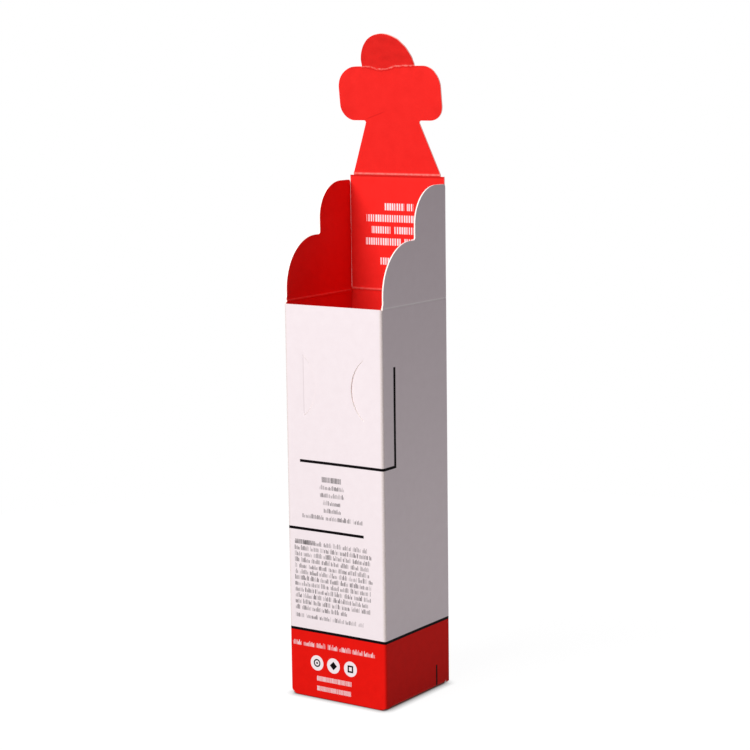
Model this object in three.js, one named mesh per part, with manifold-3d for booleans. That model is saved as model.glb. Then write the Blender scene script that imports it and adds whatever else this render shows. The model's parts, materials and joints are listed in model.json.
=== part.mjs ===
// A tall tuck end box of folded board, standing open: a square tube with two dust flaps,
// a lid panel with a winged locking tongue, two lock slits in the front and a tuck bottom.
// Millimetres, +Z up, the origin at the middle of the base, the front facing -Y.
import * as THREE from "three";
import { mergeVertices } from "three/addons/utils/BufferGeometryUtils.js";
import Module from "manifold-3d";

const wasm = await Module();
wasm.setup();

// Board
const board = 0.5;
const foldRadius = 0.65; // to the middle of the board, at an upright fold
const bendSteps = 4; // straight facets in one fold

// Tube
const width = 41;
const depth = 41;
const frontHeight = 140;
const glueWidth = 12; // how far the glue flap reaches along the right panel
const glueSetback = 2.5; // the glue flap's ends stop short of the tube's ends
const seamSetback = 0.5; // the right panel's raw edge stops short of the back face

// Clearances
const creaseSlack = 0.15; // air beyond half the board on each side of a crease
const layerGap = 0.2; // air between two flaps that lie on each other when closed
const seatGap = 0.3; // air between pieces that rest on each other as it stands
const tipPlay = 0.25; // a closed dust flap's tip to the panel across
const lidPlay = 0.25; // a lid edge to the upright dust flap beside it
const tuckPlay = 0.4; // the bottom tuck to the back panel

// Dust flaps, with heights from their crease
const flapCreaseRise = 0.2; // the lower crease above the front panel's cut edge
const flapFootInset = 1.2; // the flap's front edge inside the front face
const flapHeelInset = 0.9; // and its back edge inside the back face
const flapHeelRadius = 1.2;
const notchHeight = 21.8;
const notchPlace = 0.8; // the notch's upright edge, behind the middle
const notchRadius = 1;
const lowerLobeLevel = 2.9; // the level stretch between the lower lobe and the notch
const lowerLobeFoot = 4;
const upperLobeLevel = 5.8; // the level stretch at the tip, ahead of the flap's back edge
const upperLobeRise = 12.6;

// Lid panel and its tongue
const lidReach = 0.4; // the closed lid's crease past the front face
const lidTaper = 0.3; // narrowing of each edge towards the tongue
const tongueLean = 7; // degrees forward of the lid, as it stands
const tongueBase = 36.8;
const neckWidth = 22.6;
const neckLength = 19.3;
const headWidth = 43;
const headLength = 19.1;
const wingLowRadius = 5.5;
const wingHighRadius = 7.5;
const crownWidth = 22;
const crownLength = 12.1;
const crownBend = 15; // degrees forward of the head
const crownBendRadius = 1.5;

// Lock slits in the front panel
const slitSpread = 25.4; // between the two slits' straight hinges
const slitLength = 21;
const slitBulge = 5.3;
const slitWidth = 0.3;
const slitDrop = 0.9; // below the middle of the closed tongue's head

// Bottom
const bottomInset = 1; // the bottom flap's side edge inside the tube's face
const tuckInset = 2;
const tuckLength = 12;
const tuckLean = 12; // degrees, the tuck leans into the box
const tuckRadius = 4;
const bottomDustLength = 17; // from the side panel's face to the free edge
const bottomDustInset = 2.2; // from the front and back faces
const bottomDustRadius = 5;

// Places that follow from the sizes above
const wallX = width / 2 - board / 2;
const wallY = depth / 2 - board / 2;
const creaseReach = board / 2 + creaseSlack;
const foldRun = foldRadius + board / 2;
const layer = board + layerGap;
const rightCrease = frontHeight + flapCreaseRise;
const leftCrease = rightCrease + layer;
const lidCrease = leftCrease + layer;
const bottomCrease = board / 2;
const frontFloor = bottomCrease + creaseReach;
const sideFloor = board + seatGap;
const backTop = lidCrease - creaseReach;
const flapLength = wallX + width / 2 - board - tipPlay;
const flapFoot = depth / 2 - flapFootInset;
const flapHeel = depth / 2 - flapHeelInset;
const lidLength = depth + lidReach;
const lidWidth = width - 2 * board - 2 * lidPlay;
const headTop = neckLength + headLength;
const slitMiddle = lidCrease - neckLength - headLength / 2 - slitDrop;
const past = 1; // how far a cutter runs past what it cuts

const radians = THREE.MathUtils.degToRad;
const point = (x, y) => new THREE.Vector2(x, y);

// The three ways a flat outline is drawn: its two drawing axes, then the way it is thickened.
const alongX = new THREE.Vector3(1, 0, 0);
const alongY = new THREE.Vector3(0, 1, 0);
const alongZ = new THREE.Vector3(0, 0, 1);
const planView = new THREE.Matrix4();
const frontView = new THREE.Matrix4().makeBasis(alongX, alongZ, alongY.clone().negate());
const sideView = new THREE.Matrix4().makeBasis(alongY, alongZ, alongX);

// A closed geometry as a solid that can be cut and joined.
function solidOf(geometry) {
  const loose = geometry.index ? geometry.toNonIndexed() : geometry;
  const bare = new THREE.BufferGeometry();
  bare.setAttribute("position", loose.getAttribute("position"));
  const merged = mergeVertices(bare);
  const mesh = new wasm.Mesh({
    numProp: 3,
    vertProperties: merged.getAttribute("position").array,
    triVerts: new Uint32Array(merged.index.array),
  });
  return new wasm.Manifold(mesh);
}

// A cut solid back as a geometry.
function geometryOf(solid) {
  const mesh = solid.getMesh();
  const geometry = new THREE.BufferGeometry();
  geometry.setAttribute("position", new THREE.BufferAttribute(mesh.vertProperties, 3));
  geometry.setIndex(new THREE.BufferAttribute(mesh.triVerts, 1));
  geometry.computeVertexNormals();
  return geometry;
}

// An outline thickened from one distance to another along its view's third axis.
function slab(shape, view, from, to) {
  const geometry = new THREE.ExtrudeGeometry(shape, {
    depth: to - from,
    bevelEnabled: false,
    curveSegments: 16,
  });
  geometry.translate(0, 0, from);
  geometry.applyMatrix4(view);
  return solidOf(geometry);
}

// A plain block between two corners, used as a cutter.
function block(low, high) {
  const size = new THREE.Vector3().subVectors(high, low);
  const middle = new THREE.Vector3().addVectors(low, high).multiplyScalar(0.5);
  const geometry = new THREE.BoxGeometry(size.x, size.y, size.z);
  geometry.translate(middle.x, middle.y, middle.z);
  return solidOf(geometry);
}

// The middle line of folded board: straight runs joined by round bends.
function foldedLine(corners, bendRadius) {
  const line = [];
  corners.forEach((corner, index) => {
    const before = corners[index - 1];
    const after = corners[index + 1];
    const arriving = corner.clone().sub(before ?? corner).normalize();
    const leaving = (after ?? corner).clone().sub(corner).normalize();
    if (!before || !after) {
      line.push({ at: corner.clone(), along: before ? arriving : leaving });
      return;
    }
    const turn = Math.atan2(arriving.cross(leaving), arriving.dot(leaving));
    const setback = bendRadius * Math.tan(Math.abs(turn) / 2);
    const start = corner.clone().addScaledVector(arriving, -setback);
    const inner = point(-arriving.y, arriving.x).multiplyScalar(Math.sign(turn) * bendRadius);
    const centre = start.clone().add(inner);
    for (let step = 0; step <= bendSteps; step += 1) {
      const angle = (turn * step) / bendSteps;
      line.push({
        at: start.clone().rotateAround(centre, angle),
        along: arriving.clone().rotateAround(point(0, 0), angle),
      });
    }
  });
  return line;
}

// The section of folded board: its middle line with half the board on each side.
function foldedSection(corners, bendRadius) {
  const offset = ({ at, along }, side) =>
    point(at.x - (along.y * side * board) / 2, at.y + (along.x * side * board) / 2);
  const line = foldedLine(corners, bendRadius);
  const left = line.map((place) => offset(place, 1));
  const right = line.map((place) => offset(place, -1)).reverse();
  return new THREE.Shape([...left, ...right]);
}

// The tube wall: one sheet from the back panel round to the right panel's raw edge, and
// the back panel's other end, folded into the glue flap inside the right panel.
function tubeWall() {
  const lap = width / 4;
  const sheet = foldedSection(
    [
      point(lap, wallY),
      point(-wallX, wallY),
      point(-wallX, -wallY),
      point(wallX, -wallY),
      point(wallX, depth / 2 - seamSetback),
    ],
    foldRadius,
  );
  const glueBite = board / 20; // the glued faces become one solid
  const glueX = wallX - board + glueBite;
  const glueFlap = foldedSection(
    [point(lap - past, wallY), point(glueX, wallY), point(glueX, depth / 2 - glueWidth)],
    foldRadius,
  );
  return slab(sheet, planView, 0, backTop).add(slab(glueFlap, planView, 0, backTop));
}

// The glue flap's ends are cut back from the tube's ends.
function glueEnd(low, high) {
  return block(
    new THREE.Vector3(width / 2 - 3 * board, depth / 2 - glueWidth - past, low),
    new THREE.Vector3(width / 2 - board, depth / 2 - foldRun - board, high),
  );
}

// Each panel of the tube is trimmed to its own cut edge or crease.
function panelTrims() {
  const frontEnd = foldRun - depth / 2;
  const backEnd = depth / 2 - foldRun;
  const sideTrim = (side, low, high) => {
    const edges = [(side * width) / 4, side * (width / 2 + past)].sort((a, b) => a - b);
    return block(
      new THREE.Vector3(edges[0], frontEnd, low),
      new THREE.Vector3(edges[1], backEnd, high),
    );
  };
  const frontTrim = (low, high) =>
    block(
      new THREE.Vector3(-width / 2 - past, -depth / 2 - past, low),
      new THREE.Vector3(width / 2 + past, frontEnd, high),
    );
  const top = backTop + past;
  return [
    frontTrim(frontHeight, top),
    frontTrim(-past, frontFloor),
    sideTrim(1, rightCrease - creaseReach, top),
    sideTrim(-1, leftCrease - creaseReach, top),
    sideTrim(1, -past, sideFloor),
    sideTrim(-1, -past, sideFloor),
    glueEnd(rightCrease - glueSetback, top),
    glueEnd(-past, sideFloor + glueSetback),
  ];
}

// One lock slit: an arc that bulges towards the middle of the front panel.
function lockSlit(side) {
  const halfLength = slitLength / 2;
  const radius = (halfLength ** 2 + slitBulge ** 2) / (2 * slitBulge);
  const reach = Math.asin(halfLength / radius);
  const facing = side > 0 ? Math.PI : 0;
  const centreX = side * (slitSpread / 2 - slitBulge + radius);
  const arc = new THREE.Shape();
  arc.absarc(centreX, slitMiddle, radius + slitWidth / 2, facing - reach, facing + reach, false);
  arc.absarc(centreX, slitMiddle, radius - slitWidth / 2, facing + reach, facing - reach, true);
  return slab(arc, frontView, depth / 2 - board - past, depth / 2 + past);
}

// A bottom dust flap: the foot of a side panel, folded in under the box.
function bottomDustFlap(side) {
  const dustY = depth / 2 - bottomDustInset;
  const level = sideFloor + board / 2;
  const freeEdge = width / 2 - bottomDustLength;
  const section = foldedSection(
    [
      point(side * wallX, level + 2 * foldRun),
      point(side * wallX, level),
      point(side * freeEdge, level),
    ],
    foldRadius,
  );
  const outline = new THREE.Shape();
  const cornerX = freeEdge + bottomDustRadius;
  const cornerY = dustY - bottomDustRadius;
  outline.moveTo(width / 2 + past, -dustY);
  outline.lineTo(width / 2 + past, dustY);
  outline.lineTo(cornerX, dustY);
  outline.absarc(cornerX, cornerY, bottomDustRadius, Math.PI / 2, Math.PI, false);
  outline.absarc(cornerX, -cornerY, bottomDustRadius, Math.PI, 1.5 * Math.PI, false);
  const trim = slab(outline, planView, 0, frontHeight).rotate([0, 0, side > 0 ? 0 : 180]);
  return slab(section, frontView, -depth / 2, depth / 2).intersect(trim);
}

// The side panel gives way where its foot is folded.
function footRelief(side) {
  const dustY = depth / 2 - bottomDustInset;
  const edges = [(side * width) / 4, side * (width / 2 + past)].sort((a, b) => a - b);
  return block(
    new THREE.Vector3(edges[0], -dustY, 0),
    new THREE.Vector3(edges[1], dustY, sideFloor + board / 2 + foldRun),
  );
}

function cartonBody() {
  let body = tubeWall();
  [...panelTrims(), lockSlit(1), lockSlit(-1), footRelief(1), footRelief(-1)].forEach((cutter) => {
    body = body.subtract(cutter);
  });
  return geometryOf(body.add(bottomDustFlap(1)).add(bottomDustFlap(-1)));
}

// A dust flap standing on its crease, drawn from the side: two lobes with a notch between.
function dustFlap() {
  const outline = new THREE.Shape();
  const quarter = Math.PI / 2;
  const upperMiddle = flapLength - upperLobeRise;
  const lowerCrown = notchPlace - lowerLobeLevel;
  const upperCrown = flapHeel - upperLobeLevel;
  outline.moveTo(-flapFoot, creaseReach);
  outline.lineTo(-flapFoot, lowerLobeFoot);
  outline.absellipse(
    lowerCrown,
    lowerLobeFoot,
    lowerCrown + flapFoot,
    notchHeight - lowerLobeFoot,
    Math.PI,
    quarter,
    true,
  );
  outline.absarc(
    notchPlace - notchRadius,
    notchHeight + notchRadius,
    notchRadius,
    -quarter,
    0,
    false,
  );
  outline.absellipse(
    upperCrown,
    upperMiddle,
    upperCrown - notchPlace,
    upperLobeRise,
    Math.PI,
    quarter,
    true,
  );
  outline.absarc(
    flapHeel - flapHeelRadius,
    flapLength - flapHeelRadius,
    flapHeelRadius,
    quarter,
    0,
    true,
  );
  outline.lineTo(flapHeel, creaseReach);
  return geometryOf(slab(outline, sideView, -board / 2, board / 2));
}

// The lid panel between its two creases.
function lidPanel() {
  const low = lidWidth / 2;
  const high = lidWidth / 2 - lidTaper;
  const outline = new THREE.Shape([
    point(-low, creaseReach),
    point(low, creaseReach),
    point(high, lidLength - creaseReach),
    point(-high, lidLength - creaseReach),
  ]);
  return geometryOf(slab(outline, frontView, -board / 2, board / 2));
}

// The tongue: a tapered neck, a head with two wings and a round crown bent forward.
function lidTongue() {
  const wing = headWidth / 2;
  const bend = radians(crownBend);
  const section = foldedSection(
    [
      point(0, creaseReach),
      point(0, headTop),
      point(-crownLength * Math.sin(bend), headTop + crownLength * Math.cos(bend)),
    ],
    crownBendRadius,
  );
  const outline = new THREE.Shape();
  const quarter = Math.PI / 2;
  outline.moveTo(-tongueBase / 2, 0);
  outline.lineTo(tongueBase / 2, 0);
  outline.lineTo(neckWidth / 2, neckLength);
  outline.absarc(wing - wingLowRadius, neckLength + wingLowRadius, wingLowRadius, -quarter, 0, false);
  outline.absarc(wing - wingHighRadius, headTop - wingHighRadius, wingHighRadius, 0, quarter, false);
  outline.absellipse(0, headTop, crownWidth / 2, crownLength, 0, Math.PI, false);
  outline.absarc(wingHighRadius - wing, headTop - wingHighRadius, wingHighRadius, quarter, Math.PI, false);
  outline.absarc(wingLowRadius - wing, neckLength + wingLowRadius, wingLowRadius, Math.PI, 3 * quarter, false);
  outline.lineTo(-neckWidth / 2, neckLength);
  const folded = slab(section, sideView, -width, width);
  return geometryOf(folded.intersect(slab(outline, frontView, -width, width)));
}

// The bottom flap from its crease at the front to the tuck that stands inside the back panel.
function bottomFlap() {
  const tuckFoot = depth / 2 - board - tuckPlay - board / 2 + wallY;
  const lean = radians(tuckLean);
  const section = foldedSection(
    [
      point(creaseReach, 0),
      point(tuckFoot, 0),
      point(tuckFoot - tuckLength * Math.sin(lean), tuckLength * Math.cos(lean)),
    ],
    foldRadius,
  );
  const panelHalf = width / 2 - bottomInset;
  const tuckHalf = width / 2 - tuckInset;
  const tuckTop = tuckLength * Math.cos(lean) + board / 2;
  const outline = new THREE.Shape();
  outline.moveTo(-panelHalf, -board);
  outline.lineTo(panelHalf, -board);
  outline.lineTo(panelHalf, board);
  outline.lineTo(tuckHalf, board);
  outline.absarc(tuckHalf - tuckRadius, tuckTop - tuckRadius, tuckRadius, 0, Math.PI / 2, false);
  outline.absarc(tuckRadius - tuckHalf, tuckTop - tuckRadius, tuckRadius, Math.PI / 2, Math.PI, false);
  outline.lineTo(-tuckHalf, board);
  outline.lineTo(-panelHalf, board);
  const folded = slab(section, sideView, -width / 2, width / 2);
  return geometryOf(folded.intersect(slab(outline, frontView, -depth, depth)));
}

function piece(name, geometry, color, roughness) {
  const material = new THREE.MeshStandardMaterial({ color, roughness, metalness: 0 });
  const mesh = new THREE.Mesh(geometry, material);
  mesh.name = name;
  return mesh;
}

const outsideWhite = 0xf6ecee;
const insideRed = 0xff2d2d;
const bandRed = 0xde1c12;
const satin = 0.45;
const matt = 0.6;

const box = new THREE.Group();
box.add(piece("carton_body", cartonBody(), outsideWhite, satin));

const rightFlap = piece("right_dust_flap", dustFlap(), outsideWhite, satin);
rightFlap.position.set(wallX, 0, rightCrease);
box.add(rightFlap);

const leftFlap = piece("left_dust_flap", dustFlap(), insideRed, matt);
leftFlap.position.set(-wallX, 0, leftCrease);
box.add(leftFlap);

const lid = new THREE.Group();
lid.position.set(0, wallY, lidCrease);
lid.add(piece("lid_panel", lidPanel(), insideRed, matt));
const tongue = piece("lid_tongue", lidTongue(), insideRed, matt);
tongue.position.set(0, 0, lidLength);
tongue.rotation.x = radians(tongueLean);
lid.add(tongue);
box.add(lid);

const bottom = piece("bottom_flap", bottomFlap(), bandRed, satin);
bottom.position.set(0, -wallY, bottomCrease);
box.add(bottom);

export default box;
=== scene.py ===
# A tall tuck end box of printed folding board, standing open on a white studio floor.
import json
import math
import bpy
from mathutils import Matrix, Vector, geometry, noise


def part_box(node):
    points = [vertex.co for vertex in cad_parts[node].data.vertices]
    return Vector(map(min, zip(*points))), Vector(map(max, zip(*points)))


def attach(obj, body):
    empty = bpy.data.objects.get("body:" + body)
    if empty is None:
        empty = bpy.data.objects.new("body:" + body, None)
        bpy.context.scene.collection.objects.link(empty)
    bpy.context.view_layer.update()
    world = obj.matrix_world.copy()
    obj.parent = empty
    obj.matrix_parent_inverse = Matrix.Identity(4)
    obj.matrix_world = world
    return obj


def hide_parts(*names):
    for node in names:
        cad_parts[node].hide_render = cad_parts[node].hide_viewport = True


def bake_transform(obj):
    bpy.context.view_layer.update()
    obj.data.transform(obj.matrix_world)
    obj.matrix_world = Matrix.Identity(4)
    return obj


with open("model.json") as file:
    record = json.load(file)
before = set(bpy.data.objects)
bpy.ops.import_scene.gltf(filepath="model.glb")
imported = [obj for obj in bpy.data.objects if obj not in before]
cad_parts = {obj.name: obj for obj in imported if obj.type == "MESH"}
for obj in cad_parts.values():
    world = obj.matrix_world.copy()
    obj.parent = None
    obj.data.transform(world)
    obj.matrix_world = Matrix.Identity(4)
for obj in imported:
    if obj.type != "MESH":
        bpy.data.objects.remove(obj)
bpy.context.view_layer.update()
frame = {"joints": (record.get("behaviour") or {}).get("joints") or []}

# Lengths are in millimetres until a mesh is made
MM = 0.001
# How much of the UV map one millimetre of the flat blank takes
BLANK_UNIT = 0.01
BOARD = 0.5
FOLD_RADIUS = 0.65
FOLD_STEPS = 6
CREASE_REACH = 0.4
GLUE_WIDTH = 12
GLUE_SETBACK = 2.5
GLUE_LINE = 0.02
SEAM_SETBACK = 0.5
BOTTOM_DUST_LENGTH = 17
BOTTOM_DUST_INSET = 2
BOTTOM_DUST_RADIUS = 5
SLIT_SPREAD = 25.4
SLIT_LENGTH = 21
SLIT_BULGE = 5.3
SLIT_WIDTH = 0.12
SLIT_MIDDLE = 111.85
SLIT_STEPS = 22
RIGHT_TAB_DEPTH = 0.42
LEFT_TAB_DEPTH = 0.22
PANEL_CELL = 2.5
FLAP_CELL = 1.7
TONGUE_CELL = 1.1


def millimetres(vector):
    return Vector(vector) / MM


tube_low, tube_high = (millimetres(corner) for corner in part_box("carton_body"))
HINGE = {joint["name"]: millimetres(joint["pos_m"]) for joint in frame["joints"]}
HALF_WIDTH = tube_high.x
HALF_DEPTH = tube_high.y
BACK_TOP = tube_high.z
WALL_X = HALF_WIDTH - BOARD / 2
WALL_Y = HALF_DEPTH - BOARD / 2
FRONT_HEIGHT = 140
RIGHT_TOP = HINGE["right_flap_hinge"].z - CREASE_REACH
LEFT_TOP = HINGE["left_flap_hinge"].z - CREASE_REACH
SIDE_FLOOR = 0.8
FRONT_FLOOR = HINGE["bottom_hinge"].z + CREASE_REACH
LID_LENGTH = HINGE["tongue_hinge"].z - HINGE["lid_hinge"].z


# Folded board


class FoldedLine:
    """The middle of folded board seen end on: straight runs joined by round bends."""

    def __init__(self, corners, radius):
        self.radius = radius
        self.runs = []
        self.bends = []
        distance = 0.0
        place = Vector(corners[0])
        for index in range(1, len(corners)):
            corner = Vector(corners[index])
            heading = (corner - Vector(corners[index - 1])).normalized()
            if index == len(corners) - 1:
                self.runs.append((distance, place, heading, 0))
                distance += (corner - place).length
                break
            leaving = (Vector(corners[index + 1]) - corner).normalized()
            turn = math.atan2(heading.cross(leaving), heading.dot(leaving))
            setback = radius * math.tan(abs(turn) / 2)
            self.runs.append((distance, place, heading, 0))
            distance += (corner - place).length - setback
            arc = radius * abs(turn)
            self.runs.append((distance, corner - heading * setback, heading, math.copysign(1, turn)))
            self.bends.append((distance, distance + arc))
            distance += arc
            place = corner + leaving * setback
        self.length = distance

    def at(self, distance):
        """The place on the line and its heading."""
        run = self.runs[0]
        for candidate in self.runs:
            if candidate[0] <= distance:
                run = candidate
        start, place, heading, side = run
        along = distance - start
        if side == 0:
            return place + heading * along, heading
        angle = side * along / self.radius
        inner = Vector((-heading.y, heading.x)) * side * self.radius
        turned = turn_vector(-inner, angle)
        return place + inner + turned, turn_vector(heading, angle)


def turn_vector(vector, angle):
    """A flat vector turned anticlockwise."""
    cosine = math.cos(angle)
    sine = math.sin(angle)
    return Vector((vector.x * cosine - vector.y * sine, vector.x * sine + vector.y * cosine))


def right_of(heading):
    """The outer face of the board lies to the right of its heading."""
    return Vector((heading.y, -heading.x))


def smooth(value, low, high):
    """0 below low, 1 above high, with a soft change between."""
    share = min(max((value - low) / (high - low), 0), 1)
    return share * share * (3 - 2 * share)


def plateau(value, rise, fall):
    """0 outside and 1 between two stretches, over which it rises and falls."""
    return smooth(value, *rise) * smooth(-value, -fall[1], -fall[0])


def ridge(distance, width):
    """1 on a line, falling away softly on both sides."""
    return math.exp(-((distance / width) ** 2))


def arc_points(centre, radii, start, end, steps):
    """Points along part of an ellipse, in degrees."""
    angles = [math.radians(start + (end - start) * step / steps) for step in range(steps + 1)]
    return [(centre[0] + radii[0] * math.cos(a), centre[1] + radii[1] * math.sin(a)) for a in angles]


def inside(point, loops):
    """Whether a flat point lies in the outline and out of its holes."""
    crossings = 0
    x, y = point
    for loop in loops:
        for (ax, ay), (bx, by) in zip(loop, loop[1:] + loop[:1]):
            if (ay > y) != (by > y) and x < ax + (y - ay) * (bx - ax) / (by - ay):
                crossings += 1
    return crossings % 2 == 1


def fine_loop(loop, step):
    """The outline with its long edges divided."""
    points = []
    for start, end in zip(loop, loop[1:] + loop[:1]):
        count = max(1, round(math.dist(start, end) / step))
        for part in range(count):
            share = part / count
            points.append((start[0] + (end[0] - start[0]) * share, start[1] + (end[1] - start[1]) * share))
    return points


def triangulate(loops, lines, cell):
    """Flat triangles that fill an outline, follow the fold lines and have a point in each cell."""
    points = []
    edges = []
    for loop in loops:
        base = len(points)
        points += loop
        edges += [(base + i, base + (i + 1) % len(loop)) for i in range(len(loop))]
    for start, end in lines:
        count = max(1, round(math.dist(start, end) / cell))
        base = len(points)
        for part in range(count + 1):
            share = part / count
            points.append((start[0] + (end[0] - start[0]) * share, start[1] + (end[1] - start[1]) * share))
        edges += [(base + part, base + part + 1) for part in range(count)]
    taken = {}
    for x, y in points:
        taken.setdefault((math.floor(x / cell), math.floor(y / cell)), []).append((x, y))
    xs = [x for x, _ in loops[0]]
    ys = [y for _, y in loops[0]]
    for row in range(math.floor(min(ys) / cell), math.ceil(max(ys) / cell)):
        for column in range(math.floor(min(xs) / cell), math.ceil(max(xs) / cell)):
            point = ((column + 0.5 * (row % 2)) * cell, row * cell)
            home = (math.floor(point[0] / cell), math.floor(point[1] / cell))
            near = [
                other
                for i in (-1, 0, 1)
                for j in (-1, 0, 1)
                for other in taken.get((home[0] + i, home[1] + j), [])
            ]
            if any(math.dist(point, other) < 0.45 * cell for other in near):
                continue
            if inside(point, loops):
                points.append(point)
    flat, _, faces, _, _, _ = geometry.delaunay_2d_cdt([Vector(p) for p in points], edges, [], 0, 1e-5)
    kept = []
    for face in faces:
        corners = [flat[i] for i in face]
        middle = sum(corners, Vector((0, 0))) / 3
        area = (corners[1] - corners[0]).cross(corners[2] - corners[0])
        if abs(area) > 1e-7 and inside(middle, loops):
            kept.append(face if area > 0 else face[::-1])
    used = sorted({i for face in kept for i in face})
    index = {old: new for new, old in enumerate(used)}
    return [tuple(flat[i]) for i in used], [tuple(index[i] for i in face) for face in kept]


def build_sheet(name, loops, lines, cell, place, relief=None):
    """Board of real thickness: an outer face, an inner face and the raw edge between them.

    place(u, v) gives the middle of the board and its outward direction. relief(u, v) gives
    how much deeper the outer face and how much prouder the inner face lies, at a crease.
    """
    flat, faces = triangulate(loops, lines, cell)
    outer = []
    inner = []
    for u, v in flat:
        middle, outward = place(u, v)
        groove, bead = relief(u, v) if relief else (0, 0)
        outer.append((middle + outward * (BOARD / 2 - groove)) * MM)
        inner.append((middle - outward * (BOARD / 2 + bead)) * MM)
    count = len(flat)
    a, b, c = faces[len(faces) // 2]
    facing = (outer[b] - outer[a]).cross(outer[c] - outer[a])
    if facing.dot(outer[a] - inner[a]) < 0:
        faces = [face[::-1] for face in faces]
    # A rim edge is one that no second triangle runs along the other way
    sides = dict.fromkeys(edge for face in faces for edge in zip(face, face[1:] + face[:1]))
    rim = [edge for edge in sides if (edge[1], edge[0]) not in sides]
    all_faces = list(faces)
    all_faces += [tuple(i + count for i in reversed(face)) for face in faces]
    all_faces += [(j, i, i + count, j + count) for i, j in rim]
    mesh = bpy.data.meshes.new(name)
    mesh.from_pydata(outer + inner, [], all_faces)
    mesh.update()
    blank = mesh.uv_layers.new(name="blank")
    for loop in mesh.loops:
        u, v = flat[loop.vertex_index % count]
        blank.data[loop.index].uv = (u * BLANK_UNIT, v * BLANK_UNIT)
    for number, polygon in enumerate(mesh.polygons):
        polygon.use_smooth = True
        polygon.material_index = min(number // len(faces), 2)
    border = {frozenset(edge) for edge in rim}
    border |= {frozenset((i + count, j + count)) for i, j in rim}
    sharp = mesh.attributes.new("sharp_edge", "BOOLEAN", "EDGE")
    sharp.data.foreach_set("value", [frozenset(edge.vertices) in border for edge in mesh.edges])
    piece = bpy.data.objects.new(name, mesh)
    bpy.context.scene.collection.objects.link(piece)
    return piece


CREASE_STEPS = 8
ABOVE_CREASE = (0.7, 1.1)
BELOW_CREASE = (0.25, 0.5, 0.9)
EDGE_MARGIN = 0.1
GROOVE_DEPTH = 0.08
GROOVE_WIDTH = 0.3
BEAD_HEIGHT = 0.26
BEAD_PLACE = 0.05
BEAD_WIDTH = 0.36
DIP_DEPTH = 0.07
DIP_PLACE = -0.75
DIP_WIDTH = 0.35


def crease_lines(half):
    """Rows of points across a crease, so that the board bends there in a round fold."""
    rows = [-CREASE_REACH + 2 * CREASE_REACH * step / CREASE_STEPS for step in range(CREASE_STEPS + 1)]
    rows += ABOVE_CREASE
    return [((-half, v), (half, v)) for v in rows]


def rows_below(start, end, top):
    """Rows of points just below a crease, where the board dips."""
    return [((start, top - drop), (end, top - drop)) for drop in BELOW_CREASE]


def crease_relief(_, v):
    """A scored crease: a shallow groove outside and a raised bead inside, with a dip below it."""
    groove = GROOVE_DEPTH * ridge(v, GROOVE_WIDTH)
    bead = BEAD_HEIGHT * ridge(v - BEAD_PLACE, BEAD_WIDTH) - DIP_DEPTH * ridge(v - DIP_PLACE, DIP_WIDTH)
    return groove, bead


# The tube


glue_x = WALL_X - BOARD - GLUE_LINE
tube_line = FoldedLine(
    [
        (glue_x, HALF_DEPTH - GLUE_WIDTH),
        (glue_x, WALL_Y),
        (-WALL_X, WALL_Y),
        (-WALL_X, -WALL_Y),
        (WALL_X, -WALL_Y),
        (WALL_X, HALF_DEPTH - SEAM_SETBACK),
    ],
    FOLD_RADIUS,
)
front_middle = (tube_line.bends[2][1] + tube_line.bends[3][0]) / 2
# The four upright folds on the flat blank, from the glue flap round to the front right
FOLDS = [(start + end) / 2 - front_middle for start, end in tube_line.bends]
GLUE_END = -front_middle
SEAM_END = tube_line.length - front_middle

FOOT_START = 40
foot_level = SIDE_FLOOR + BOARD / 2
foot_line = FoldedLine(
    [(WALL_X, FOOT_START), (WALL_X, foot_level), (HALF_WIDTH - BOTTOM_DUST_LENGTH, foot_level)],
    FOLD_RADIUS,
)
FOOT_BEND = FOOT_START - foot_line.bends[0][0]
FOOT_END = FOOT_START - foot_line.length


def slit_circle():
    """Radius and half angle of a lock slit."""
    half = SLIT_LENGTH / 2
    radius = (half**2 + SLIT_BULGE**2) / (2 * SLIT_BULGE)
    return radius, math.degrees(math.asin(half / radius))


def slit_loop(side):
    """The thin curved cut of one lock slit."""
    radius, reach = slit_circle()
    centre = (side * (SLIT_SPREAD / 2 - SLIT_BULGE + radius), SLIT_MIDDLE)
    facing = 180 if side > 0 else 0
    outer = radius + SLIT_WIDTH / 2
    inner = radius - SLIT_WIDTH / 2
    there = arc_points(centre, (outer, outer), facing - reach, facing + reach, SLIT_STEPS)
    back = arc_points(centre, (inner, inner), facing + reach, facing - reach, SLIT_STEPS)
    return there + back


def slit_tab(u, v):
    """How far the half-moon tab behind a slit is pushed in."""
    radius, _ = slit_circle()
    middle_u = SLIT_SPREAD / 2 - SLIT_BULGE + radius
    if abs(u) >= SLIT_SPREAD / 2 or math.dist((abs(u), v), (middle_u, SLIT_MIDDLE)) > radius:
        return 0
    share = (SLIT_SPREAD / 2 - abs(u)) / SLIT_BULGE
    return (RIGHT_TAB_DEPTH if u > 0 else LEFT_TAB_DEPTH) * share


# The worn lower corners: how far along a panel the wear reaches, and how high its edge is there
WEAR_REACH = 1.5
SIDE_WEAR = 0.7
BACK_WEAR = (0.5, 0.4)
FRONT_LEFT_WEAR = (0.6, 1.2)
FRONT_RIGHT_WEAR = (0.4, 0.8)
# How high the edge of a side panel is at its two folds
LEFT_CORNER_LIFT = (0.9, 2.1)
RIGHT_CORNER_LIFT = (1.1, 0.8)


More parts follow.
